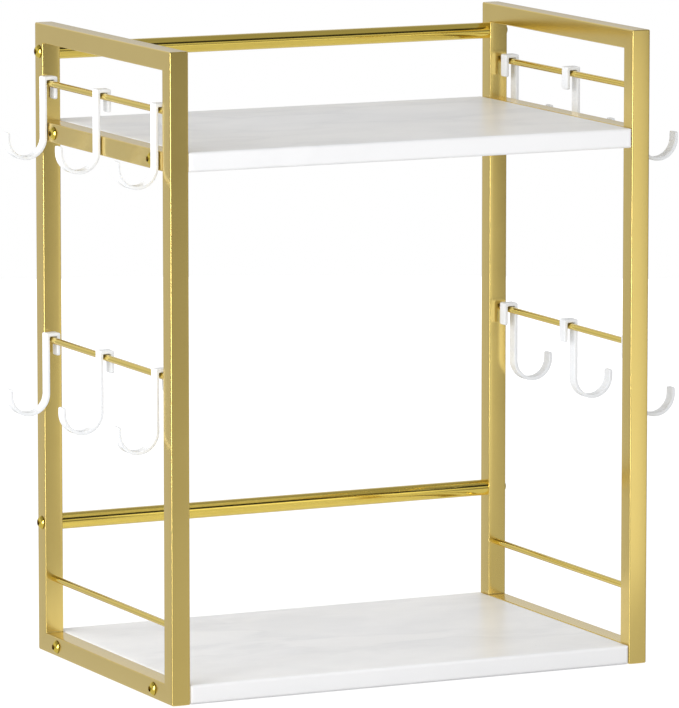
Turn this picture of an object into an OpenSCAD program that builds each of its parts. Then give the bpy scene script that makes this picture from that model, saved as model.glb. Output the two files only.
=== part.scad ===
// Two-shelf coffee station organizer: two welded side frames of square tube, joined by
// two boards and two round back rails, with strip hooks hung on rods in each side frame.
// Millimetres. X runs to the right, Y to the rear, Z up. The origin is on the floor,
// under the middle of the stand.

/* [Stand] */
// Outside width over the two side frames
body_w = 400; // [320:5:520]
// Outside depth of a side frame
body_d = 255; // [235:5:320]
// Height of a side frame
body_h = 490; // [450:5:600]

/* [Square tube] */
// Side of the square tube
tube = 15; // [15:0.5:18]
// Wall of the square tube
tube_wall = 1.2; // [0.8:0.1:1.5]
// Outside radius of the long edges of the square tube
tube_edge_r = 1.5; // [1.5:0.1:2.5]

/* [Shelves] */
// Thickness of the shelf boards
board_t = 15; // [13:0.5:15]
// Radius of the board edges
board_edge_r = 2.4; // [0.6:0.1:3]
// From the top of the stand down to the top of the upper shelf bars
upper_shelf_drop = 75; // [65:1:110]

/* [Rods and rails] */
// Diameter of the side rods
rod_d = 5; // [4:0.5:7]
// From the upper shelf bars' top up to the centre of the upper hook rods
upper_rod_rise = 29.7; // [28:0.1:35]
// From the upper shelf bars' top down to the centre of the lower hook rods
lower_rod_drop = 168.7; // [100:0.1:190]
// Height of the guard rods above the floor
guard_rod_z = 57.5; // [40:0.5:75]
// Diameter of the round back rails
rail_d = 12.7; // [11:0.1:14]
// Wall of the round back rails
rail_wall = 1; // [0.8:0.1:1.2]
// From the top of the stand down to the centre of the upper back rail
upper_rail_drop = 22; // [22:0.5:30]
// Height of the lower back rail above the floor
lower_rail_z = 101; // [80:1:130]

/* [Hooks] */
// Width of the strip that the hooks are bent from
hook_w = 9.5; // [7:0.5:9.5]
// Thickness of the hook strip
hook_t = 2.7; // [2:0.1:3]
// Radius of the long edges of the hook strip, nearly half its thickness
hook_edge_r = 1.2; // [0.4:0.1:1.4]
// Radius of the corners at the two ends of a hook
hook_end_r = 2; // [1:0.5:3]
// Overall height of a hook
hook_h = 63.5; // [58:0.5:75]
// Inside radius of the hook's curl
curl_r = 14.1; // [12:0.1:17]
// Height of the hook's tip above its lowest point
tip_h = 21.7; // [21:0.1:28]
// Length of the short leg behind the rod, from the top of the hook
short_leg = 17.7; // [12:0.1:22]
// Inside radius of the two bends over the rod
clip_bend_r = 0.4; // [0.3:0.1:1]
// Clearance between the clip's legs and the rod, on each side
clip_clear = 0.55; // [0.4:0.05:1]
// Running clearance between the clip and the top of the rod
rest_gap = 0.3; // [0.2:0.1:0.5]
// Gap between an evenly hung end hook and the post beside it
hook_end_gap = 4.5; // [4.2:0.1:4.6]

/* [Fasteners] */
// Diameter of the bolt shanks
bolt_d = 6; // [5:0.5:6]
// Length of a bolt under its head
bolt_len = 28; // [26:1:30]
// Diameter of the domed bolt heads
head_d = 10.5; // [9:0.1:10.5]
// Height of the domed bolt heads
head_h = 3.3; // [2.8:0.1:3.6]
// Straight rim below a head's dome
head_rim = 0.5; // [0.3:0.1:0.8]
// Width across the flats of the key socket in a head
socket_af = 4; // [3:0.5:4]
// Depth of the key socket
socket_depth = 2; // [1.5:0.1:2.2]
// Distance of the shelf bolts from the front and rear faces
bolt_inset = 35.5; // [35.5:0.5:60]
// Clearance of the bolt holes in the tubes, on the diameter
hole_clear = 0.5; // [0.3:0.1:1]
// Outside diameter of the threaded inserts in the boards
insert_d = 10; // [9:0.5:10]
// Length of the threaded inserts and of the rail plugs
insert_len = 13; // [12:0.5:16]
// Gap round an insert, a plug or a bolt thread, on the radius
seat_gap = 0.05; // [0.02:0.01:0.1]

/* [Hidden] */
$fn = 64;
GOLD = "#C6AE68";
BOLT_GOLD = "#D8B23C";
PALE_MARBLE = "#E2E2E1";
HOOK_WHITE = "#F5F5F3";
ZINC = "#A9ADB0";

// Cutting tools run this far past the faces they open
overcut = 1;
// Bolt chamfer at the tip, and the lead-in of a threaded bore
tip_chamfer = 0.8;
// Depth of the pilot hole in a board beyond its insert
pilot_extra = 4;

inner_w = body_w - 2 * tube;
inner_d = body_d - 2 * tube;
tube_x = body_w / 2 - tube / 2;
post_y = body_d / 2 - tube / 2;
tube_bore_r = max(tube_edge_r - tube_wall, 0.3);

upper_shelf_top = body_h - upper_shelf_drop;
upper_board_z = upper_shelf_top - tube / 2;
lower_board_z = tube / 2;
upper_rod_z = upper_shelf_top + upper_rod_rise;
lower_rod_z = upper_shelf_top - lower_rod_drop;
upper_rail_z = body_h - upper_rail_drop;

// Hook rods lie flush with the outside of the posts, so the hooks clear the shelf bars
hook_rod_x = body_w / 2 - rod_d / 2;
guard_rod_x = tube_x;

clip_gap = rod_d + 2 * clip_clear;
clip_top = rod_d / 2 + rest_gap;
clip_x = clip_gap / 2;
curl_z = clip_top + hook_t - hook_h + curl_r + hook_t;
curl_x = clip_x + hook_t + curl_r;
end_hook_y = inner_d / 2 - hook_end_gap - hook_w / 2;
strip_r = min(hook_edge_r, hook_t / 2 - 0.1);

bolt_y = body_d / 2 - bolt_inset;
hole_d = bolt_d + hole_clear;
thread_bore_d = bolt_d + 2 * seat_gap;
dome_h = head_h - head_rim;
dome_r = (head_d * head_d / 4 + dome_h * dome_h) / (2 * dome_h);

SIDES = [["left", -1], ["right", 1]];
LEVELS = [["upper", upper_rod_z, 0], ["lower", lower_rod_z, 1]];
PLACES = [["rear", 1, 0], ["middle", 0, 1], ["front", -1, 2]];
// How far each hook hangs towards the rear of its even place, for the left and the right
// side, the upper and the lower rod, and the rear, middle and front hook
HANG = [
    [[3.7, 4.6, 0.25], [1, 1.2, 0.6]],
    [[-0.25, -1.8, -1.8], [0, 0, 0]]
];
FRAME_PARTS = ["rear_post", "front_post", "top_bar", "shelf_bar", "bottom_bar",
    "upper_hook_rod", "lower_hook_rod", "guard_rod"];
COMMON_PARTS = ["upper_shelf", "lower_shelf", "upper_back_rail", "lower_back_rail",
    "upper_shelf_bolts", "lower_shelf_bolts", "back_rail_bolts",
    "upper_shelf_inserts", "lower_shelf_inserts", "back_rail_plugs"];

function hook_name(side, level, place) = str(side[0], "_", level[0], "_", place[0], "_hook");

// Rectangle with round corners, centred on the origin
module rounded_rect(w, h, r) {
    square([w - 2 * r, h], center = true);
    square([w, h - 2 * r], center = true);
    for (x = [-1, 1], y = [-1, 1])
        translate([x * (w / 2 - r), y * (h / 2 - r)]) circle(r);
}

// Cross-section of the square tube
module tube_section() {
    bore = tube - 2 * tube_wall;
    difference() {
        rounded_rect(tube, tube, tube_edge_r);
        rounded_rect(bore, bore, tube_bore_r);
    }
}

// Square tube along Z with both ends cut at 45 degrees; the long face is on +Y
module mitred_tube(length) {
    near = tube / 2 + overcut;
    intersection() {
        linear_extrude(length) tube_section();
        rotate([90, 0, 90]) linear_extrude(tube + 2 * overcut, center = true)
            polygon([
                [near, -overcut],
                [near, length + overcut],
                [-near, length - tube - overcut],
                [-near, tube + overcut]
            ]);
    }
}

// Square tube along Y with square ends, centred on the origin
module butted_tube(length) {
    rotate([90, 0, 0]) linear_extrude(length, center = true) tube_section();
}

// Round hole along X, right through a tube centred on X = 0
module cross_hole(y, z) {
    translate([0, y, z]) rotate([0, 90, 0])
        cylinder(h = tube + 2 * overcut, d = hole_d, center = true);
}

// Moves a part that is modelled for the right side to either side
module on_side(side) {
    mirror([side < 0 ? 1 : 0, 0, 0]) children();
}

module rear_post(side) {
    color(GOLD) on_side(side) translate([tube_x, 0, 0]) difference() {
        translate([0, post_y, 0]) mitred_tube(body_h);
        cross_hole(post_y, upper_rail_z);
        cross_hole(post_y, lower_rail_z);
    }
}

module front_post(side) {
    color(GOLD) on_side(side) translate([tube_x, -post_y, 0])
        mirror([0, 1, 0]) mitred_tube(body_h);
}

module top_bar(side) {
    color(GOLD) on_side(side) translate([tube_x, body_d / 2, body_h - tube / 2])
        rotate([90, 0, 0]) mitred_tube(body_d);
}

module bottom_bar(side) {
    color(GOLD) on_side(side) translate([tube_x, 0, 0]) difference() {
        translate([0, -body_d / 2, tube / 2]) rotate([-90, 0, 0]) mitred_tube(body_d);
        for (y = [-bolt_y, bolt_y]) cross_hole(y, lower_board_z);
    }
}

module shelf_bar(side) {
    color(GOLD) on_side(side) translate([tube_x, 0, 0]) difference() {
        translate([0, 0, upper_board_z]) butted_tube(inner_d);
        for (y = [-bolt_y, bolt_y]) cross_hole(y, upper_board_z);
    }
}

// Round rod along Y, welded between the front and rear posts of a side frame
module side_rod(side, x, z) {
    color(GOLD) on_side(side) translate([x, 0, z]) rotate([90, 0, 0])
        cylinder(h = inner_d, d = rod_d, center = true);
}

// Pocket in a board's right-hand end for a threaded insert and the bolt's tip
module insert_pocket() {
    depth = insert_len + pilot_extra;
    rotate([0, -90, 0]) {
        translate([0, 0, -overcut]) cylinder(h = insert_len + overcut, d = insert_d);
        cylinder(h = depth, d = thread_bore_d);
    }
}

// Board between the side frames, its centre plane level with that of the bars
module shelf(z) {
    color(PALE_MARBLE) difference() {
        translate([0, 0, z]) intersection() {
            rotate([90, 0, 90]) linear_extrude(inner_w, center = true)
                rounded_rect(body_d, board_t, board_edge_r);
            rotate([90, 0, 0]) linear_extrude(body_d, center = true)
                rounded_rect(inner_w, board_t, board_edge_r);
            linear_extrude(board_t, center = true)
                rounded_rect(inner_w, body_d, board_edge_r);
        }
        for (side = [-1, 1], y = [-bolt_y, bolt_y]) on_side(side)
            translate([inner_w / 2, y, z]) insert_pocket();
    }
}

// Round tube along X between the rear posts
module back_rail(z) {
    color(GOLD) translate([0, post_y, z]) rotate([0, 90, 0]) difference() {
        cylinder(h = inner_w, d = rail_d, center = true);
        cylinder(h = inner_w + 2 * overcut, d = rail_d - 2 * rail_wall, center = true);
    }
}

// Threaded bush lying along X, its mouth at the origin and its body towards -X
module threaded_bush(d) {
    rotate([0, -90, 0]) difference() {
        cylinder(h = insert_len, d = d);
        translate([0, 0, -overcut])
            cylinder(h = insert_len + 2 * overcut, d = thread_bore_d);
        translate([0, 0, -overcut])
            cylinder(h = overcut + tip_chamfer, d1 = thread_bore_d + 2 * (overcut + tip_chamfer),
                d2 = thread_bore_d);
    }
}

// Four bushes in the ends of a board
module shelf_inserts(z) {
    color(ZINC) for (side = [-1, 1], y = [-bolt_y, bolt_y]) on_side(side)
        translate([inner_w / 2, y, z]) threaded_bush(insert_d - 2 * seat_gap);
}

// Four bushes in the ends of the two back rails
module back_rail_plugs() {
    plug_d = rail_d - 2 * rail_wall - 2 * seat_gap;
    color(ZINC) for (side = [-1, 1], z = [upper_rail_z, lower_rail_z]) on_side(side)
        translate([inner_w / 2, post_y, z]) threaded_bush(plug_d);
}

// Domed bolt along X with a hexagonal key socket; its head seats at the origin
module domed_bolt() {
    rotate([0, 90, 0]) difference() {
        union() {
            intersection() {
                cylinder(h = head_h, d = head_d);
                translate([0, 0, head_h - dome_r]) sphere(dome_r);
            }
            translate([0, 0, tip_chamfer - bolt_len])
                cylinder(h = bolt_len - tip_chamfer, d = bolt_d);
            translate([0, 0, -bolt_len])
                cylinder(h = tip_chamfer, d1 = bolt_d - 2 * tip_chamfer, d2 = bolt_d);
        }
        translate([0, 0, head_h - socket_depth])
            cylinder(h = socket_depth + overcut, d = socket_af / cos(30), $fn = 6);
    }
}

// Four bolts through the side bars into a board
module shelf_bolts(z) {
    color(BOLT_GOLD) for (side = [-1, 1], y = [-bolt_y, bolt_y]) on_side(side)
        translate([body_w / 2, y, z]) domed_bolt();
}

// Four bolts through the rear posts into the back rails
module back_rail_bolts() {
    color(BOLT_GOLD) for (side = [-1, 1], z = [upper_rail_z, lower_rail_z]) on_side(side)
        translate([body_w / 2, post_y, z]) domed_bolt();
}

// Straight run of hook strip up Z, its thickness along X and its width along Y
module strip_run(length) {
    linear_extrude(length) rounded_rect(hook_t, hook_w, strip_r);
}

// Straight run like strip_run whose far end has round corners
module strip_tip(length) {
    intersection() {
        strip_run(length);
        rotate([90, 0, 90]) linear_extrude(hook_t + 2 * overcut, center = true) {
            translate([-hook_w / 2, -overcut]) square([hook_w, length + overcut - hook_end_r]);
            translate([hook_end_r - hook_w / 2, 0]) square([hook_w - 2 * hook_end_r, length]);
            for (y = [-1, 1])
                translate([y * (hook_w / 2 - hook_end_r), length - hook_end_r]) circle(hook_end_r);
        }
    }
}

// Bend of hook strip in the XZ plane, from one angle to another about the origin
module strip_bend(inside_r, from, to) {
    rotate([90, 0, 0]) rotate([0, 0, from]) rotate_extrude(angle = to - from)
        translate([inside_r + hook_t / 2, 0]) rounded_rect(hook_t, hook_w, strip_r);
}

// Hook bent from flat strip, about its rod's axis: a square clip over the rod,
// a long leg on the outside (+X) and a round curl that opens outwards and upwards
module hook_shape() {
    bend_x = clip_x - clip_bend_r;
    bend_z = clip_top - clip_bend_r;
    leg_x = clip_x + hook_t / 2;
    short_z = clip_top + hook_t - short_leg;
    tip_z = clip_top + hook_t - hook_h + tip_h;
    translate([-leg_x, 0, bend_z]) mirror([0, 0, 1]) strip_tip(bend_z - short_z);
    translate([-bend_x, 0, bend_z]) strip_bend(clip_bend_r, 90, 180);
    translate([-bend_x, 0, clip_top + hook_t / 2]) rotate([0, 90, 0]) strip_run(2 * bend_x);
    translate([bend_x, 0, bend_z]) strip_bend(clip_bend_r, 0, 90);
    translate([leg_x, 0, curl_z]) strip_run(bend_z - curl_z);
    translate([curl_x, 0, curl_z]) strip_bend(curl_r, 180, 360);
    translate([curl_x + curl_r + hook_t / 2, 0, curl_z]) strip_tip(tip_z - curl_z);
}

module hook(side, level, place) {
    shift = HANG[side[1] < 0 ? 0 : 1][level[2]][place[2]];
    color(HOOK_WHITE) on_side(side[1])
        translate([hook_rod_x, place[1] * end_hook_y + shift, level[1]]) hook_shape();
}

for (s = SIDES) {
    rear_post(s[1]);
    front_post(s[1]);
    top_bar(s[1]);
    shelf_bar(s[1]);
    bottom_bar(s[1]);
    side_rod(s[1], hook_rod_x, upper_rod_z);
    side_rod(s[1], hook_rod_x, lower_rod_z);
    side_rod(s[1], guard_rod_x, guard_rod_z);
}
shelf(upper_board_z);  // upper_shelf
shelf(lower_board_z);  // lower_shelf
back_rail(upper_rail_z);  // upper_back_rail
back_rail(lower_rail_z);  // lower_back_rail
shelf_bolts(upper_board_z);  // upper_shelf_bolts
shelf_bolts(lower_board_z);  // lower_shelf_bolts
back_rail_bolts();
shelf_inserts(upper_board_z);  // upper_shelf_inserts
shelf_inserts(lower_board_z);  // lower_shelf_inserts
back_rail_plugs();
for (s = SIDES, v = LEVELS, p = PLACES)
    hook(s, v, p);
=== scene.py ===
import math

import bmesh
import bpy
from mathutils import Matrix, Vector


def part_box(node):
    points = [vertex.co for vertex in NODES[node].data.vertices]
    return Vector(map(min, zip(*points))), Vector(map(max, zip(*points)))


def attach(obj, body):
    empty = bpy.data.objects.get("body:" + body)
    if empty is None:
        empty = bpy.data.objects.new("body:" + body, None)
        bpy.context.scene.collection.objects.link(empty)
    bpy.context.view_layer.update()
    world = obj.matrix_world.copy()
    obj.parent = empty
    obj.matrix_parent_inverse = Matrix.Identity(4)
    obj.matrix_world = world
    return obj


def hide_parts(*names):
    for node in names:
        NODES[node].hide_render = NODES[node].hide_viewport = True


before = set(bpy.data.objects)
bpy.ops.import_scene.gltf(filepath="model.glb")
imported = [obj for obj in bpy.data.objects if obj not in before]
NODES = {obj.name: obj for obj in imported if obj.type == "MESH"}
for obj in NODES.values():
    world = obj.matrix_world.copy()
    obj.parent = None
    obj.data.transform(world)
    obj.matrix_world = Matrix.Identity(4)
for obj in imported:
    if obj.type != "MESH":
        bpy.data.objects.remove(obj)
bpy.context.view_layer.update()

bl_info = {
    "name": "Coffee Station Organizer",
    "version": (1, 0, 0),
    "blender": (4, 5, 0),
    "location": "View3D > Sidebar > Organizer",
    "description": "Welded tube frames, finishes and studio for a two-tier coffee station organizer",
    "category": "Object",
}

MM = 0.001
SIDES = ("left", "right")
LEVELS = ("upper", "lower")
PLACES = ("rear", "middle", "front")


def linear(code):
    """An sRGB hex colour as linear red, green and blue."""
    parts = [int(code[i:i + 2], 16) / 255 for i in (1, 3, 5)]
    return tuple(p / 12.92 if p <= 0.04045 else ((p + 0.055) / 1.055) ** 2.4 for p in parts)


# Sizes and colours that a user would change

class OrganizerSizes(bpy.types.PropertyGroup):
    tube_edge: bpy.props.FloatProperty(
        name="Tube Edge Radius", description="Radius of the rounded long edges of the square tube",
        default=0.8 * MM, min=0.4 * MM, max=3 * MM, precision=5, subtype="DISTANCE", unit="LENGTH")
    tube_crown: bpy.props.FloatProperty(
        name="Tube Crown", description="How far a drawn tube face falls from its middle to its edges",
        default=0.12 * MM, min=0, max=0.4 * MM, precision=5, subtype="DISTANCE", unit="LENGTH")
    mitre_round: bpy.props.FloatProperty(
        name="Mitre Rounding", description="Radius left at a mitred corner after the weld is ground",
        default=0.7 * MM, min=0.2 * MM, max=3 * MM, precision=5, subtype="DISTANCE", unit="LENGTH")
    strip_thickness: bpy.props.FloatProperty(
        name="Hook Thickness", description="Thickness of the hook strip with its coat",
        default=2.7 * MM, min=2 * MM, max=3 * MM, precision=5, subtype="DISTANCE", unit="LENGTH")
    strip_edge: bpy.props.FloatProperty(
        name="Hook Edge Radius", description="Radius of the rounded long edges of the hook strip",
        default=0.7 * MM, min=0.2 * MM, max=1.0 * MM, precision=5, subtype="DISTANCE", unit="LENGTH")
    strip_end: bpy.props.FloatProperty(
        name="Hook End Radius", description="Radius of the corners at both ends of the hook strip",
        default=1.6 * MM, min=0.5 * MM, max=3 * MM, precision=5, subtype="DISTANCE", unit="LENGTH")
    clip_gap: bpy.props.FloatProperty(
        name="Clip Gap", description="Clear width inside the clip that hangs on the rod",
        default=6.1 * MM, min=5 * MM, max=8 * MM, precision=5, subtype="DISTANCE", unit="LENGTH")
    clip_corner: bpy.props.FloatProperty(
        name="Clip Corner", description="Outer radius of the two tight bends of the clip",
        default=1.3 * MM, min=1.0 * MM, max=3 * MM, precision=5, subtype="DISTANCE", unit="LENGTH")
    short_leg: bpy.props.FloatProperty(
        name="Short Leg", description="Height of the short leg behind the rod",
        default=17.7 * MM, min=12 * MM, max=22 * MM, precision=5, subtype="DISTANCE", unit="LENGTH")
    curl_radius: bpy.props.FloatProperty(
        name="Curl Radius", description="Inside radius of the curl",
        default=14.1 * MM, min=12 * MM, max=17 * MM, precision=5, subtype="DISTANCE", unit="LENGTH")
    tip_height: bpy.props.FloatProperty(
        name="Tip Height", description="Height of the curl's tip above its lowest point",
        default=21.7 * MM, min=21 * MM, max=28 * MM, precision=5, subtype="DISTANCE", unit="LENGTH")


class OrganizerFinishes(bpy.types.PropertyGroup):
    gold: bpy.props.FloatVectorProperty(
        name="Satin Gold", description="Colour of the lacquered square tubes",
        subtype="COLOR", default=linear("#F3D880"), min=0, max=1)
    rod_gold: bpy.props.FloatVectorProperty(
        name="Rod Gold", description="Colour of the lacquered round rods and rails",
        subtype="COLOR", default=linear("#F4D968"), min=0, max=1)
    gold_roughness: bpy.props.FloatProperty(
        name="Gold Roughness", description="Roughness of the satin lacquer on the square tubes",
        default=0.21, min=0.05, max=1, subtype="FACTOR")
    rod_roughness: bpy.props.FloatProperty(
        name="Rod Roughness", description="Roughness of the lacquer on the round rods and rails",
        default=0.13, min=0.05, max=1, subtype="FACTOR")
    bolt: bpy.props.FloatVectorProperty(
        name="Bolt Gold", description="Colour of the polished bolt heads",
        subtype="COLOR", default=linear("#EBD05C"), min=0, max=1)
    board: bpy.props.FloatVectorProperty(
        name="Board", description="Main colour of the marble-look film",
        subtype="COLOR", default=linear("#F2F2F3"), min=0, max=1)
    vein: bpy.props.FloatVectorProperty(
        name="Board Veins", description="Colour of the clouds and veins in the marble-look film",
        subtype="COLOR", default=linear("#DCDDE0"), min=0, max=1)
    hook: bpy.props.FloatVectorProperty(
        name="Hook White", description="Colour of the coated hooks",
        subtype="COLOR", default=linear("#EDEFF2"), min=0, max=1)
    zinc: bpy.props.FloatVectorProperty(
        name="Zinc", description="Colour of the plated inserts and plugs",
        subtype="COLOR", default=linear("#C2C4C6"), min=0, max=1)


# Materials

def add_node(tree, kind, inputs=None, **settings):
    """Adds one node, gives it its settings, and sets or links its inputs."""
    made = tree.nodes.new(kind)
    for name, value in settings.items():
        setattr(made, name, value)
    for name, value in (inputs or {}).items():
        if isinstance(value, bpy.types.NodeSocket):
            tree.links.new(value, made.inputs[name])
        else:
            made.inputs[name].default_value = value
    return made


def new_material(name):
    """A material with a Principled shader and an output, and nothing else."""
    made = bpy.data.materials.new(name)
    made.use_nodes = True
    tree = made.node_tree
    tree.nodes.clear()
    shader = add_node(tree, "ShaderNodeBsdfPrincipled")
    add_node(tree, "ShaderNodeOutputMaterial", {"Surface": shader.outputs[0]})
    return made, tree, shader


def ramp(tree, value, stops):
    """A colour ramp through grey levels or colours at the given places, in rising order."""
    made = add_node(tree, "ShaderNodeValToRGB", {0: value})
    points = made.color_ramp.elements
    for place, _ in stops[1:-1]:
        points.new(place)
    points[0].position = stops[0][0]
    points[len(stops) - 1].position = stops[-1][0]
    for point, (place, colour) in zip(points, stops):
        point.color = (*(colour if isinstance(colour, tuple) else (colour,) * 3), 1)
    return made.outputs[0]


def satin_gold(name, along, gold, base):
    """Satin gold lacquer over steel: the drawn tube is polished lengthwise, then lacquered,
    so faint lines run along it under a soft, slightly uneven gloss."""
    made, tree, shader = new_material(name)
    place = add_node(tree, "ShaderNodeTexCoord").outputs["Object"]
    # Polishing lines about 0.35 mm apart and 40 mm long
    stretch = [1 / (0.35 * MM)] * 3
    stretch["XYZ".index(along)] = 1 / (40 * MM)
    lines = add_node(tree, "ShaderNodeMapping", {"Vector": place, "Scale": stretch})
    lines = add_node(tree, "ShaderNodeTexNoise", {"Vector": lines.outputs[0], "Scale": 1.0, "Detail": 2.0})
    # Lacquer waves about 5 mm across
    waves = add_node(tree, "ShaderNodeTexNoise", {"Vector": place, "Scale": 1 / (5 * MM), "Detail": 1.0})
    # Handling and thickness of the lacquer change the tone over about 60 mm
    cloud = add_node(tree, "ShaderNodeTexNoise", {"Vector": place, "Scale": 1 / (60 * MM), "Detail": 3.0})
    gold = tuple(gold)
    deep = tuple(c * k for c, k in zip(gold, (0.97, 0.96, 0.94)))
    tint = ramp(tree, cloud.outputs["Fac"], [(0.35, deep), (0.65, gold)])
    tree.links.new(tint, shader.inputs["Base Color"])
    rough = add_node(tree, "ShaderNodeMath", {0: lines.outputs["Fac"], 1: 0.03, 2: base - 0.04}, operation="MULTIPLY_ADD")
    rough = add_node(tree, "ShaderNodeMath", {0: cloud.outputs["Fac"], 1: 0.05, 2: rough.outputs[0]}, operation="MULTIPLY_ADD")
    tree.links.new(rough.outputs[0], shader.inputs["Roughness"])
    bump = add_node(tree, "ShaderNodeBump", {"Height": lines.outputs["Fac"], "Strength": 0.03, "Distance": 0.01 * MM})
    bump = add_node(tree, "ShaderNodeBump", {"Height": waves.outputs["Fac"], "Strength": 0.05, "Distance": 0.02 * MM, "Normal": bump.outputs[0]})
    tree.links.new(bump.outputs[0], shader.inputs["Normal"])
    shader.inputs["Metallic"].default_value = 1
    # The clear lacquer turns faces seen at a flat angle towards grey
    shader.inputs["Coat Weight"].default_value = 0.35
    shader.inputs["Coat Roughness"].default_value = 0.12
    return made


def polished_gold():
    """Polished gold plating on turned steel bolt heads: bright and mirror-like, with a fine grain."""
    finishes = bpy.context.scene.organizer_finishes
    made, tree, shader = new_material("polished_gold_plate")
    place = add_node(tree, "ShaderNodeTexCoord").outputs["Object"]
    # Plating grain about 0.6 mm across
    grain = add_node(tree, "ShaderNodeTexNoise", {"Vector": place, "Scale": 1 / (0.6 * MM), "Detail": 2.0})
    gold = tuple(finishes.bolt)
    tint = ramp(tree, grain.outputs["Fac"], [(0.3, tuple(c * 0.92 for c in gold)), (0.7, gold)])
    # Painted shade: the colour is darkened by ambient occlusion inside the 1.5 mm deep hex sockets, and wherever other
    # faces lie within 1.5 mm, where shade falls
    socket_occlusion = add_node(tree, "ShaderNodeAmbientOcclusion", {"Distance": 1.5 * MM})
    shade = ramp(tree, socket_occlusion.outputs["AO"], [(0.45, 0.06), (0.85, 1.0)])
    # The painted shade multiplies the plating colour
    tint = add_node(tree, "ShaderNodeMix", {"Factor": 1.0, 6: tint, 7: shade}, data_type="RGBA", blend_type="MULTIPLY").outputs[2]
    tree.links.new(tint, shader.inputs["Base Color"])
    rough = add_node(tree, "ShaderNodeMath", {0: grain.outputs["Fac"], 1: 0.06, 2: 0.06}, operation="MULTIPLY_ADD")
    tree.links.new(rough.outputs[0], shader.inputs["Roughness"])
    bump = add_node(tree, "ShaderNodeBump", {"Height": grain.outputs["Fac"], "Strength": 0.1, "Distance": 0.01 * MM})
    tree.links.new(bump.outputs[0], shader.inputs["Normal"])
    shader.inputs["Metallic"].default_value = 1
    return made


def marble_film():
    """Marble-look melamine film on fibreboard: soft grey clouds and a few faint veins under an even
    semi-gloss, with plainer edges."""
    finishes = bpy.context.scene.organizer_finishes
    made, tree, shader = new_material("marble_look_film")
    coords = add_node(tree, "ShaderNodeTexCoord")
    place = coords.outputs["Object"]
    # The print drifts diagonally, so its grain is turned 48 degrees and stretched two to one
    turned = add_node(tree, "ShaderNodeMapping", {"Vector": place, "Rotation": (0, 0, math.radians(48)), "Scale": (1, 2, 1)})
    drift = add_node(tree, "ShaderNodeTexNoise", {"Vector": turned.outputs[0], "Scale": 1 / (140 * MM), "Detail": 4.0, "Roughness": 0.55})
    bent = add_node(tree, "ShaderNodeMix", {"Factor": 0.12, 4: turned.outputs[0], 5: drift.outputs["Color"]}, data_type="VECTOR")
    # Clouds about 90 mm long
    clouds = add_node(tree, "ShaderNodeTexNoise", {"Vector": bent.outputs[1], "Scale": 1 / (90 * MM), "Detail": 5.0, "Roughness": 0.6})
    soft = ramp(tree, clouds.outputs["Fac"], [(0.38, 0.0), (0.68, 1.0)])
    # Veins are the places where a second noise crosses its middle, 3 to 6 mm wide
    veins = add_node(tree, "ShaderNodeTexNoise", {"Vector": bent.outputs[1], "Scale": 1 / (170 * MM), "Detail": 6.0, "Roughness": 0.5})
    away = add_node(tree, "ShaderNodeMath", {0: veins.outputs["Fac"], 1: 0.5}, operation="SUBTRACT")
    away = add_node(tree, "ShaderNodeMath", {0: away.outputs[0]}, operation="ABSOLUTE")
    thread = ramp(tree, away.outputs[0], [(0.0, 1.0), (0.045, 0.0)])
    amount = add_node(tree, "ShaderNodeMath", {0: thread, 1: 0.30, 2: 0.0}, operation="MULTIPLY_ADD")
    cloudy = add_node(tree, "ShaderNodeMath", {0: soft, 1: 0.45, 2: amount.outputs[0]}, operation="MULTIPLY_ADD", use_clamp=True)
    # The print shows on the two faces, and the edge band is nearly plain
    face = add_node(tree, "ShaderNodeSeparateXYZ", {0: coords.outputs["Normal"]})
    face = add_node(tree, "ShaderNodeMath", {0: face.outputs[2]}, operation="ABSOLUTE")
    face = ramp(tree, face.outputs[0], [(0.35, 0.18), (0.9, 1.0)])
    printed = add_node(tree, "ShaderNodeMath", {0: cloudy.outputs[0], 1: face}, operation="MULTIPLY")
    tint = add_node(tree, "ShaderNodeMix", {"Factor": printed.outputs[0], 6: (*finishes.board, 1), 7: (*finishes.vein, 1)}, data_type="RGBA")
    tree.links.new(tint.outputs[2], shader.inputs["Base Color"])
    # Film texture about 1.2 mm across
    skin = add_node(tree, "ShaderNodeTexNoise", {"Vector": place, "Scale": 1 / (1.2 * MM), "Detail": 2.0})
    rough = add_node(tree, "ShaderNodeMath", {0: skin.outputs["Fac"], 1: 0.06, 2: 0.26}, operation="MULTIPLY_ADD")
    tree.links.new(rough.outputs[0], shader.inputs["Roughness"])
    bump = add_node(tree, "ShaderNodeBump", {"Height": skin.outputs["Fac"], "Strength": 0.15, "Distance": 0.01 * MM})
    tree.links.new(bump.outputs[0], shader.inputs["Normal"])
    shader.inputs["IOR"].default_value = 1.5
    return made


def white_coat():
    """White powder coat on steel strip: a thick glossy skin with a faint orange peel."""
    finishes = bpy.context.scene.organizer_finishes
    made, tree, shader = new_material("white_powder_coat")
    place = add_node(tree, "ShaderNodeTexCoord").outputs["Object"]
    # Orange peel about 1.4 mm across
    peel = add_node(tree, "ShaderNodeTexNoise", {"Vector": place, "Scale": 1 / (1.4 * MM), "Detail": 1.0})
    tone = add_node(tree, "ShaderNodeTexNoise", {"Vector": place, "Scale": 1 / (18 * MM), "Detail": 2.0})
    white = tuple(finishes.hook)
    tint = ramp(tree, tone.outputs["Fac"], [(0.3, tuple(c * 0.965 for c in white)), (0.7, white)])
    tree.links.new(tint, shader.inputs["Base Color"])
    rough = add_node(tree, "ShaderNodeMath", {0: peel.outputs["Fac"], 1: 0.08, 2: 0.22}, operation="MULTIPLY_ADD")
    tree.links.new(rough.outputs[0], shader.inputs["Roughness"])
    bump = add_node(tree, "ShaderNodeBump", {"Height": peel.outputs["Fac"], "Strength": 0.12, "Distance": 0.02 * MM})
    tree.links.new(bump.outputs[0], shader.inputs["Normal"])
    shader.inputs["IOR"].default_value = 1.5
    return made


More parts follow.
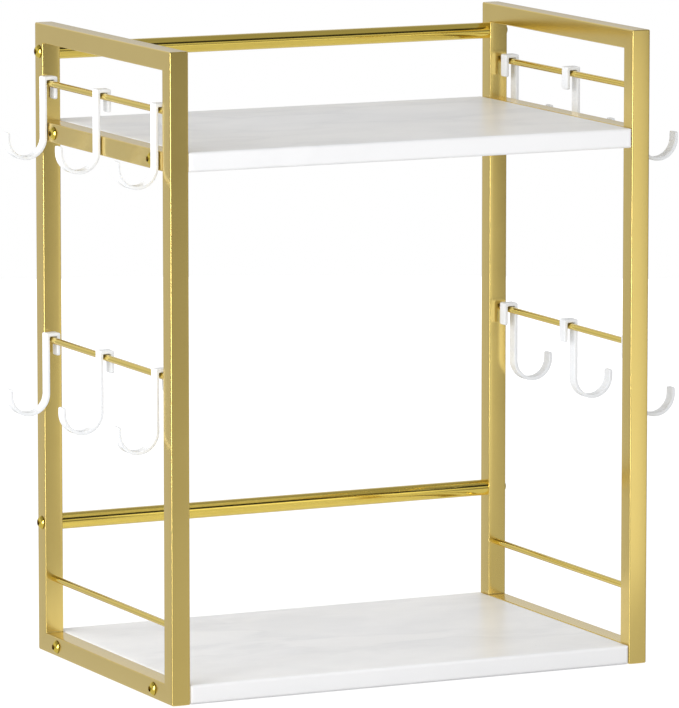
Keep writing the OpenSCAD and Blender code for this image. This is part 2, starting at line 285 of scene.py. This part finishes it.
def zinc_plate():
    """Zinc plating on the inserts and plugs: pale grey metal with a fine crystal grain."""
    finishes = bpy.context.scene.organizer_finishes
    made, tree, shader = new_material("zinc_plate")
    place = add_node(tree, "ShaderNodeTexCoord").outputs["Object"]
    # Crystals about 0.8 mm across
    grain = add_node(tree, "ShaderNodeTexVoronoi", {"Vector": place, "Scale": 1 / (0.8 * MM)})
    zinc = tuple(finishes.zinc)
    tint = ramp(tree, grain.outputs["Distance"], [(0.1, zinc), (0.8, tuple(c * 0.8 for c in zinc))])
    tree.links.new(tint, shader.inputs["Base Color"])
    rough = add_node(tree, "ShaderNodeMath", {0: grain.outputs["Distance"], 1: 0.15, 2: 0.3}, operation="MULTIPLY_ADD")
    tree.links.new(rough.outputs[0], shader.inputs["Roughness"])
    shader.inputs["Metallic"].default_value = 1
    return made


# Shapes

def tube_profile(bm, side, radius, crown):
    """The outline of a square tube in the XY plane: rounded corners and faintly crowned faces."""
    bmesh.ops.create_grid(bm, x_segments=1, y_segments=1, size=side / 2)
    bmesh.ops.bevel(
        bm, geom=bm.verts[:], affect="VERTICES", offset=radius, offset_type="OFFSET",
        segments=5, profile=0.5, material=-1)
    flats = [e for e in bm.edges if e.calc_length() > side / 2]
    bmesh.ops.subdivide_edges(bm, edges=flats, cuts=5)
    bmesh.ops.delete(bm, geom=bm.faces[:], context="FACES_ONLY")
    half = side / 2
    for v in bm.verts:
        x, y = v.co.x, v.co.y
        v.co.x = x - math.copysign(crown * (y / half) ** 2, x) if abs(x) > radius else x
        v.co.y = y - math.copysign(crown * (x / half) ** 2, y) if abs(y) > radius else y
    return bm.edges[:]


def finish_mesh(bm, name, body, replaced, materials, smooth=True):
    """Turns a bmesh into a finished piece that rides on its body and stands for its CAD nodes."""
    bmesh.ops.remove_doubles(bm, verts=bm.verts[:], dist=1e-6)
    bmesh.ops.recalc_face_normals(bm, faces=bm.faces[:])
    for face in bm.faces:
        face.smooth = smooth
    mesh = bpy.data.meshes.new(name)
    bm.to_mesh(mesh)
    bm.free()
    piece = bpy.data.objects.new(name, mesh)
    bpy.context.scene.collection.objects.link(piece)
    for material in materials:
        mesh.materials.append(material)
    weighted = piece.modifiers.new("Weighted Normals", "WEIGHTED_NORMAL")
    weighted.mode = "FACE_AREA"
    weighted.keep_sharp = True
    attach(piece, body)
    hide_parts(*replaced)
    return piece


def dress(nodes, *materials):
    """Gives CAD nodes their finish, in the first material slots of their objects."""
    for name in nodes:
        slots = NODES[name].data.materials
        slots.clear()
        for material in materials:
            slots.append(material)


def middle_and_half(low, high):
    return (low + high) / 2, (high - low) / 2


# Operators, one for each group of pieces

class ORGANIZER_OT_side_frames(bpy.types.Operator):
    """Model the two welded rings of mitred square tube, one at each side"""
    bl_idname = "organizer.side_frames"
    bl_label = "Side Frames"

    def execute(self, context):
        sizes = context.scene.organizer_sizes
        finishes = context.scene.organizer_finishes
        upright = satin_gold("satin_gold_uprights", "Z", finishes.gold, finishes.gold_roughness)
        level = satin_gold("satin_gold_level_tubes", "Y", finishes.gold, finishes.gold_roughness)
        for side in SIDES:
            names = [f"{side}_{part}" for part in ("rear_post", "front_post", "top_bar", "bottom_bar")]
            boxes = [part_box(name) for name in names]
            low = Vector([min(b[0][i] for b in boxes) for i in range(3)])
            high = Vector([max(b[1][i] for b in boxes) for i in range(3)])
            centre, half = middle_and_half(low, high)
            tube = 2 * half.x
            bm = bmesh.new()
            loop = tube_profile(bm, tube, sizes.tube_edge, sizes.tube_crown)
            loops = [loop]
            for _ in range(3):
                copy = bmesh.ops.duplicate(bm, geom=loop + list({v for e in loop for v in e.verts}))
                loops.append([g for g in copy["geom"] if isinstance(g, bmesh.types.BMEdge)])
            corners = ((-1, -1), (1, -1), (1, 1), (-1, 1))
            for edges, (y, z) in zip(loops, corners):
                # The outline is sheared onto the mitre plane of its corner
                place = Matrix((
                    (1, 0, 0, centre.x),
                    (0, y, -z, centre.y + y * (half.y - tube / 2)),
                    (0, z, y, centre.z + z * (half.z - tube / 2)),
                    (0, 0, 0, 1)))
                bmesh.ops.transform(bm, matrix=place, verts=list({v for e in edges for v in e.verts}))
            for near, far in zip(loops, loops[1:] + loops[:1]):
                bmesh.ops.bridge_loops(bm, edges=near + far)
            mitres = [e for edges in loops for e in edges]
            bmesh.ops.bevel(
                bm, geom=mitres, affect="EDGES", offset=sizes.mitre_round, offset_type="OFFSET",
                segments=3, profile=0.5, material=-1)
            for face in bm.faces:
                beyond = abs(face.calc_center_median().z - centre.z) > half.z - tube
                inside = abs(face.calc_center_median().y - centre.y) < half.y - tube
                face.material_index = 1 if beyond and inside else 0
            finish_mesh(bm, f"{side}_side_frame", "stand", names, [upright, level])
        return {"FINISHED"}


class ORGANIZER_OT_shelf_bars(bpy.types.Operator):
    """Model the short tubes that run between the posts at the upper shelf"""
    bl_idname = "organizer.shelf_bars"
    bl_label = "Shelf Bars"

    def execute(self, context):
        sizes = context.scene.organizer_sizes
        level = bpy.data.materials["satin_gold_level_tubes"]
        for side in SIDES:
            name = f"{side}_shelf_bar"
            low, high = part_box(name)
            centre, half = middle_and_half(low, high)
            bm = bmesh.new()
            loop = tube_profile(bm, 2 * half.x, sizes.tube_edge, sizes.tube_crown)
            turn = Matrix.Translation((centre.x, low.y, centre.z)) @ Matrix.Rotation(math.radians(90), 4, "X")
            bmesh.ops.transform(bm, matrix=turn, verts=bm.verts[:])
            cap = bmesh.ops.contextual_create(bm, geom=loop)["faces"]
            pulled = bmesh.ops.extrude_face_region(bm, geom=cap, use_keep_orig=True)["geom"]
            bmesh.ops.translate(bm, vec=(0, 2 * half.y, 0), verts=[g for g in pulled if isinstance(g, bmesh.types.BMVert)])
            piece = finish_mesh(bm, f"{name}_tube", "stand", [name], [level])
            for face in piece.data.polygons:
                face.use_smooth = abs(face.normal.y) < 0.5
        return {"FINISHED"}


class ORGANIZER_OT_rods_and_rails(bpy.types.Operator):
    """Finish the hook rods, the guard rods and the two round back rails"""
    bl_idname = "organizer.rods_and_rails"
    bl_label = "Rods and Rails"

    def execute(self, context):
        rods = [f"{side}_{kind}_rod" for side in SIDES for kind in ("upper_hook", "lower_hook", "guard")]
        finishes = context.scene.organizer_finishes
        dress(rods, satin_gold("satin_gold_rods", "Y", finishes.rod_gold, finishes.rod_roughness))
        rails = satin_gold("satin_gold_back_rails", "X", finishes.rod_gold, finishes.rod_roughness)
        dress(["upper_back_rail", "lower_back_rail"], rails)
        return {"FINISHED"}


class ORGANIZER_OT_shelves(bpy.types.Operator):
    """Finish the two marble-look shelf boards"""
    bl_idname = "organizer.shelves"
    bl_label = "Shelves"

    def execute(self, context):
        dress(["upper_shelf", "lower_shelf"], marble_film())
        return {"FINISHED"}


class ORGANIZER_OT_hooks(bpy.types.Operator):
    """Model the twelve white hooks, each bent from one strip: clip over the rod, straight leg and curl"""
    bl_idname = "organizer.hooks"
    bl_label = "Hooks"

    def execute(self, context):
        white = white_coat()
        for side in SIDES:
            for level in LEVELS:
                for place in PLACES:
                    name = f"{side}_{level}_{place}_hook"
                    low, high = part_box(name)
                    outward = -1 if side == "left" else 1
                    bm = self.strip(context.scene.organizer_sizes, high.y - low.y, high.z - low.z)
                    bmesh.ops.scale(bm, vec=(outward, 1, 1), verts=bm.verts[:])
                    inner = high.x if outward < 0 else low.x
                    bmesh.ops.translate(bm, vec=(inner, (low.y + high.y) / 2, low.z), verts=bm.verts[:])
                    finish_mesh(bm, f"{name}_strip", name, [name], [white])
        return {"FINISHED"}

    def strip(self, sizes, width, height):
        """One hook with its short leg's back at x = 0, its curl towards +x and its lowest point at z = 0."""
        thick, gap, radius = sizes.strip_thickness, sizes.clip_gap, sizes.curl_radius
        bm = bmesh.new()
        bmesh.ops.create_grid(bm, x_segments=1, y_segments=1, size=0.5)
        bmesh.ops.scale(bm, vec=(thick, width, 1), verts=bm.verts[:])
        bmesh.ops.translate(bm, vec=(thick / 2, 0, height - sizes.short_leg), verts=bm.verts[:])
        face = bm.faces[:]
        mitre = Matrix(((1, 0, 0, 0), (0, 1, 0, 0), (-1, 0, 1, sizes.short_leg), (0, 0, 0, 1)))
        face, verts = self.extend(bm, face)
        bmesh.ops.transform(bm, matrix=mitre, verts=verts)
        corners = [list(verts)]
        face, verts = self.extend(bm, face)
        across = Matrix.Translation((2 * thick + gap, 0, 0)) @ Matrix.Scale(-1, 4, (1, 0, 0))
        bmesh.ops.transform(bm, matrix=across, verts=verts)
        corners.append(list(verts))
        face, verts = self.extend(bm, face)
        level = thick + radius
        bmesh.ops.scale(bm, vec=(1, 1, 0), verts=verts)
        bmesh.ops.translate(bm, vec=(0, 0, level), verts=verts)
        turned = bmesh.ops.spin(
            bm, geom=face, cent=(2 * thick + gap + radius, 0, level), axis=(0, -1, 0), dvec=(0, 0, 0),
            angle=math.pi, steps=36, use_duplicate=False, use_merge=False)["geom_last"]
        bmesh.ops.delete(bm, geom=face, context="FACES_ONLY")
        face = [g for g in turned if isinstance(g, bmesh.types.BMFace)]
        face, verts = self.extend(bm, face)
        bmesh.ops.translate(bm, vec=(0, 0, sizes.tip_height - level), verts=verts)
        bm.normal_update()
        ends = [e for e in bm.edges if abs(e.verts[0].co.x - e.verts[1].co.x) > 0.9 * thick
                and abs(e.verts[0].co.z - e.verts[1].co.z) < 0.1 * thick
                and self.at_tip(e, sizes, height)]
        folds = []
        for group in corners:
            top = max(v.co.z for v in group)
            for outer in (True, False):
                pair = [v for v in group if (v.co.z > top - thick / 2) == outer]
                folds.append((bm.edges.get(pair), sizes.clip_corner if outer else sizes.strip_edge + 0.1 * MM))
        bmesh.ops.bevel(
            bm, geom=ends, affect="EDGES", offset=sizes.strip_end, offset_type="OFFSET",
            segments=5, profile=0.5, material=-1)
        for outer in (True, False):
            chosen = [(e, r) for e, r in folds if (r == sizes.clip_corner) == outer]
            bmesh.ops.bevel(
                bm, geom=[e for e, _ in chosen], affect="EDGES", offset=chosen[0][1], offset_type="OFFSET",
                segments=4, profile=0.5, material=-1)
        sharp = [e for e in bm.edges if e.is_manifold and e.calc_face_angle() > math.radians(50)]
        bmesh.ops.bevel(
            bm, geom=sharp, affect="EDGES", offset=sizes.strip_edge, offset_type="OFFSET",
            segments=3, profile=0.5, material=-1)
        return bm

    def extend(self, bm, face):
        """Extrudes the end face in place, and gives the new end face and its vertices."""
        inside = [f for f in face if not f.edges[0].is_boundary]
        made = bmesh.ops.extrude_face_region(bm, geom=face)["geom"]
        bmesh.ops.delete(bm, geom=inside, context="FACES_ONLY")
        return ([g for g in made if isinstance(g, bmesh.types.BMFace)],
                [g for g in made if isinstance(g, bmesh.types.BMVert)])

    def at_tip(self, edge, sizes, height):
        """Whether an edge lies at the short leg's end or at the curl's tip."""
        middle = (edge.verts[0].co + edge.verts[1].co) / 2
        short = middle.x < sizes.strip_thickness and abs(middle.z - (height - sizes.short_leg)) < 0.1 * MM
        far = 3 * sizes.strip_thickness + sizes.clip_gap + sizes.curl_radius
        return short or (middle.x > far and abs(middle.z - sizes.tip_height) < 0.1 * MM)


class ORGANIZER_OT_fixings(bpy.types.Operator):
    """Finish the bolts, the threaded inserts and the rail plugs"""
    bl_idname = "organizer.fixings"
    bl_label = "Fixings"

    def execute(self, context):
        dress(["upper_shelf_bolts", "lower_shelf_bolts", "back_rail_bolts"], polished_gold())
        dress(["upper_shelf_inserts", "lower_shelf_inserts", "back_rail_plugs"], zinc_plate())
        return {"FINISHED"}


class ORGANIZER_OT_stage(bpy.types.Operator):
    """Set the camera, the pale floor, the studio surround and the lamps"""
    bl_idname = "organizer.stage"
    bl_label = "Studio Stage"

    def execute(self, context):
        scene = context.scene
        # The photograph's viewing angle, from a camera fitted to the straight edges of the frame
        aim = Vector((-1.721, -1.352, 236.636)) * MM
        eye = Vector((-2213.704, -4638.622, 990.870)) * MM
        lens = bpy.data.cameras.new("camera")
        lens.lens = 343.08
        lens.sensor_width = 36
        lens.clip_end = 60
        camera = bpy.data.objects.new("camera", lens)
        camera.location = eye
        camera.rotation_euler = (aim - eye).to_track_quat("-Z", "Y").to_euler()
        scene.collection.objects.link(camera)
        scene.camera = camera
        scene.view_settings.view_transform = "Standard"
        self.surround(scene)
        self.floor(scene)
        # A tall key at the front left draws the bright line on the post edges
        self.lamp("key", (-1.9, -0.9, 0.55), (0.40, 1.5), 15, aim, True)
        # Broad soft lamps light the white parts, and metal doesn't mirror them
        self.lamp("front_lamp", (-0.95, -1.6, 0.35), (1.4, 1.4), 14.5, aim, False)
        self.lamp("left_lamp", (-0.85, 0.25, 0.6), (0.8, 1.0), 4.3, aim, False)
        self.lamp("rear_lamp", (1.2, 1.9, 0.6), (1.4, 1.4), 16, aim, False)
        # A low card at the front right is mirrored by the right front post
        self.lamp("right_card", (0.36, -0.65, 0.20), (0.32, 0.5), 0.27, Vector((0.36, 0, 0.20)), True)
        return {"FINISHED"}

    def lamp(self, name, place, size, power, aim, mirrored):
        light = bpy.data.lights.new(name, "AREA")
        light.shape = "RECTANGLE"
        light.size, light.size_y = size
        light.energy = power
        holder = bpy.data.objects.new(name, light)
        holder.location = place
        holder.rotation_euler = (aim - Vector(place)).to_track_quat("-Z", "Y").to_euler()
        holder.visible_glossy = mirrored
        bpy.context.scene.collection.objects.link(holder)

    def surround(self, scene):
        """White behind the object. Metal sees the white studio walls, with a darker ceiling and dark ground."""
        world = bpy.data.worlds.new("studio")
        scene.world = world
        world.use_nodes = True
        tree = world.node_tree
        tree.nodes.clear()
        look = add_node(tree, "ShaderNodeTexCoord").outputs["Generated"]
        parts = add_node(tree, "ShaderNodeSeparateXYZ", {0: look})
        height = add_node(tree, "ShaderNodeMath", {0: parts.outputs[2], 1: 0.5, 2: 0.5}, operation="MULTIPLY_ADD")
        # The studio is bright up to about 28 degrees, with a grey ceiling and a dark gap above the front wall
        plain = ramp(tree, height.outputs[0], [(0.0, 1.0), (0.72, 1.0), (0.82, 0.5), (1.0, 0.45)])
        gap = ramp(tree, height.outputs[0], [(0.0, 1.0), (0.64, 1.0), (0.69, 0.03), (0.815, 0.03), (0.86, 0.5), (1.0, 0.5)])
        forward = add_node(tree, "ShaderNodeMath", {0: parts.outputs[1], 1: -0.5, 2: 0.5}, operation="MULTIPLY_ADD")
        forward = ramp(tree, forward.outputs[0], [(0.5, 0.0), (0.62, 1.0)])
        tall = add_node(tree, "ShaderNodeMix", {"Factor": forward, 2: plain, 3: gap}, data_type="FLOAT")
        turn = add_node(tree, "ShaderNodeMath", {0: parts.outputs[1], 1: parts.outputs[0]}, operation="ARCTAN2")
        turn = add_node(tree, "ShaderNodeMath", {0: turn.outputs[0], 1: 1 / math.tau, 2: 0.5}, operation="MULTIPLY_ADD")
        # Places around the horizon: 0 and 1 are the left, 0.25 the front, 0.5 the right, 0.75 the rear
        walls = ramp(tree, turn.outputs[0], [
            (0.0, 0.8), (0.045, 1.0), (0.069, 5.5), (0.095, 1.0), (0.139, 0.9), (0.18, 0.6), (0.221, 0.42),
            (0.278, 0.3), (0.322, 0.2), (0.417, 0.35), (0.5, 0.33), (0.583, 0.42), (0.679, 0.55), (0.75, 0.7),
            (0.822, 0.80), (0.921, 0.42), (0.97, 0.55), (1.0, 0.8)])
        ground = ramp(tree, turn.outputs[0], [
            (0.0, 0.8), (0.045, 1.0), (0.069, 5.5), (0.095, 1.0), (0.139, 0.9), (0.18, 0.7), (0.221, 0.6),
            (0.278, 0.8), (0.322, 0.95), (0.417, 0.6), (0.5, 0.33), (0.583, 0.5), (0.679, 0.85), (0.75, 0.8),
            (0.822, 0.80), (0.921, 0.42), (0.97, 0.55), (1.0, 0.8)])
        above = ramp(tree, height.outputs[0], [(0.402, 0.0), (0.450, 1.0)])
        around = add_node(tree, "ShaderNodeMix", {"Factor": above, 2: ground, 3: walls}, data_type="FLOAT")
        # Steeply down is the white floor near the object
        near = ramp(tree, height.outputs[0], [(0.33, 1.0), (0.41, 0.0)])
        around = add_node(tree, "ShaderNodeMix", {"Factor": near, 2: around.outputs[0], 3: 0.95}, data_type="FLOAT")
        # Above the horizon the walls are the same all around
        high = ramp(tree, height.outputs[0], [(0.51, 0.0), (0.61, 1.0)])
        around = add_node(tree, "ShaderNodeMix", {"Factor": high, 2: around.outputs[0], 3: 1.0}, data_type="FLOAT")
        seen = add_node(tree, "ShaderNodeMath", {0: tall.outputs[0], 1: around.outputs[0]}, operation="MULTIPLY")
        seen = add_node(tree, "ShaderNodeMath", {0: seen.outputs[0], 1: 0.72}, operation="MULTIPLY")
        path = add_node(tree, "ShaderNodeLightPath")
        mirror = add_node(tree, "ShaderNodeMath", {0: path.outputs["Is Glossy Ray"], 1: path.outputs["Is Transmission Ray"]}, operation="MAXIMUM")
        level = add_node(tree, "ShaderNodeMix", {"Factor": mirror.outputs[0], 2: 0.69, 3: seen.outputs[0]}, data_type="FLOAT")
        level = add_node(tree, "ShaderNodeMix", {"Factor": path.outputs["Is Camera Ray"], 2: level.outputs[0], 3: 1.0}, data_type="FLOAT")
        light = add_node(tree, "ShaderNodeBackground", {"Color": (1, 1, 1, 1), "Strength": level.outputs[0]})
        add_node(tree, "ShaderNodeOutputWorld", {"Surface": light.outputs[0]})

    def floor(self, scene):
        """A pale floor that reads as white and keeps a faint shadow of the object."""
        bm = bmesh.new()
        bmesh.ops.create_circle(bm, cap_ends=True, segments=96, radius=2.2)
        mesh = bpy.data.meshes.new("floor")
        bm.to_mesh(mesh)
        bm.free()
        floor = bpy.data.objects.new("floor", mesh)
        scene.collection.objects.link(floor)
        floor.visible_glossy = False
        made = bpy.data.materials.new("white_floor")
        made.use_nodes = True
        tree = made.node_tree
        tree.nodes.clear()
        path = add_node(tree, "ShaderNodeLightPath")
        # The camera sees a shade of the paper and a glow, and the object is lit by the paper's own white
        tone = add_node(tree, "ShaderNodeMix", {"Factor": path.outputs["Is Camera Ray"], 6: (0.60, 0.60, 0.60, 1), 7: (0.30, 0.30, 0.30, 1)}, data_type="RGBA")
        paper = add_node(tree, "ShaderNodeBsdfDiffuse", {"Color": tone.outputs[2]})
        glow = add_node(tree, "ShaderNodeMath", {0: path.outputs["Is Camera Ray"], 1: 0.82}, operation="MULTIPLY")
        glow = add_node(tree, "ShaderNodeEmission", {"Color": (1, 1, 1, 1), "Strength": glow.outputs[0]})
        both = add_node(tree, "ShaderNodeAddShader", {0: paper.outputs[0], 1: glow.outputs[0]})
        add_node(tree, "ShaderNodeOutputMaterial", {"Surface": both.outputs[0]})
        mesh.materials.append(made)


class ORGANIZER_PT_panel(bpy.types.Panel):
    """Sizes, finishes and operators of the organizer"""
    bl_idname = "ORGANIZER_PT_panel"
    bl_label = "Coffee Station Organizer"
    bl_space_type = "VIEW_3D"
    bl_region_type = "UI"
    bl_category = "Organizer"

    def draw(self, context):
        layout = self.layout
        for group in (context.scene.organizer_sizes, context.scene.organizer_finishes):
            for name in group.bl_rna.properties.keys():
                if name not in ("rna_type", "name"):
                    layout.prop(group, name)
        for kind in OPERATORS:
            layout.operator(kind.bl_idname)


OPERATORS = (
    ORGANIZER_OT_stage,
    ORGANIZER_OT_side_frames,
    ORGANIZER_OT_shelf_bars,
    ORGANIZER_OT_rods_and_rails,
    ORGANIZER_OT_shelves,
    ORGANIZER_OT_hooks,
    ORGANIZER_OT_fixings,
)
CLASSES = (OrganizerSizes, OrganizerFinishes, *OPERATORS, ORGANIZER_PT_panel)


def register():
    for kind in CLASSES:
        bpy.utils.register_class(kind)
    bpy.types.Scene.organizer_sizes = bpy.props.PointerProperty(type=OrganizerSizes)
    bpy.types.Scene.organizer_finishes = bpy.props.PointerProperty(type=OrganizerFinishes)


def unregister():
    del bpy.types.Scene.organizer_finishes
    del bpy.types.Scene.organizer_sizes
    for kind in reversed(CLASSES):
        bpy.utils.unregister_class(kind)


def main():
    register()
    bpy.ops.organizer.stage()
    bpy.ops.organizer.side_frames()
    bpy.ops.organizer.shelf_bars()
    bpy.ops.organizer.rods_and_rails()
    bpy.ops.organizer.shelves()
    bpy.ops.organizer.hooks()
    bpy.ops.organizer.fixings()


if __name__ == "__main__":
    main()
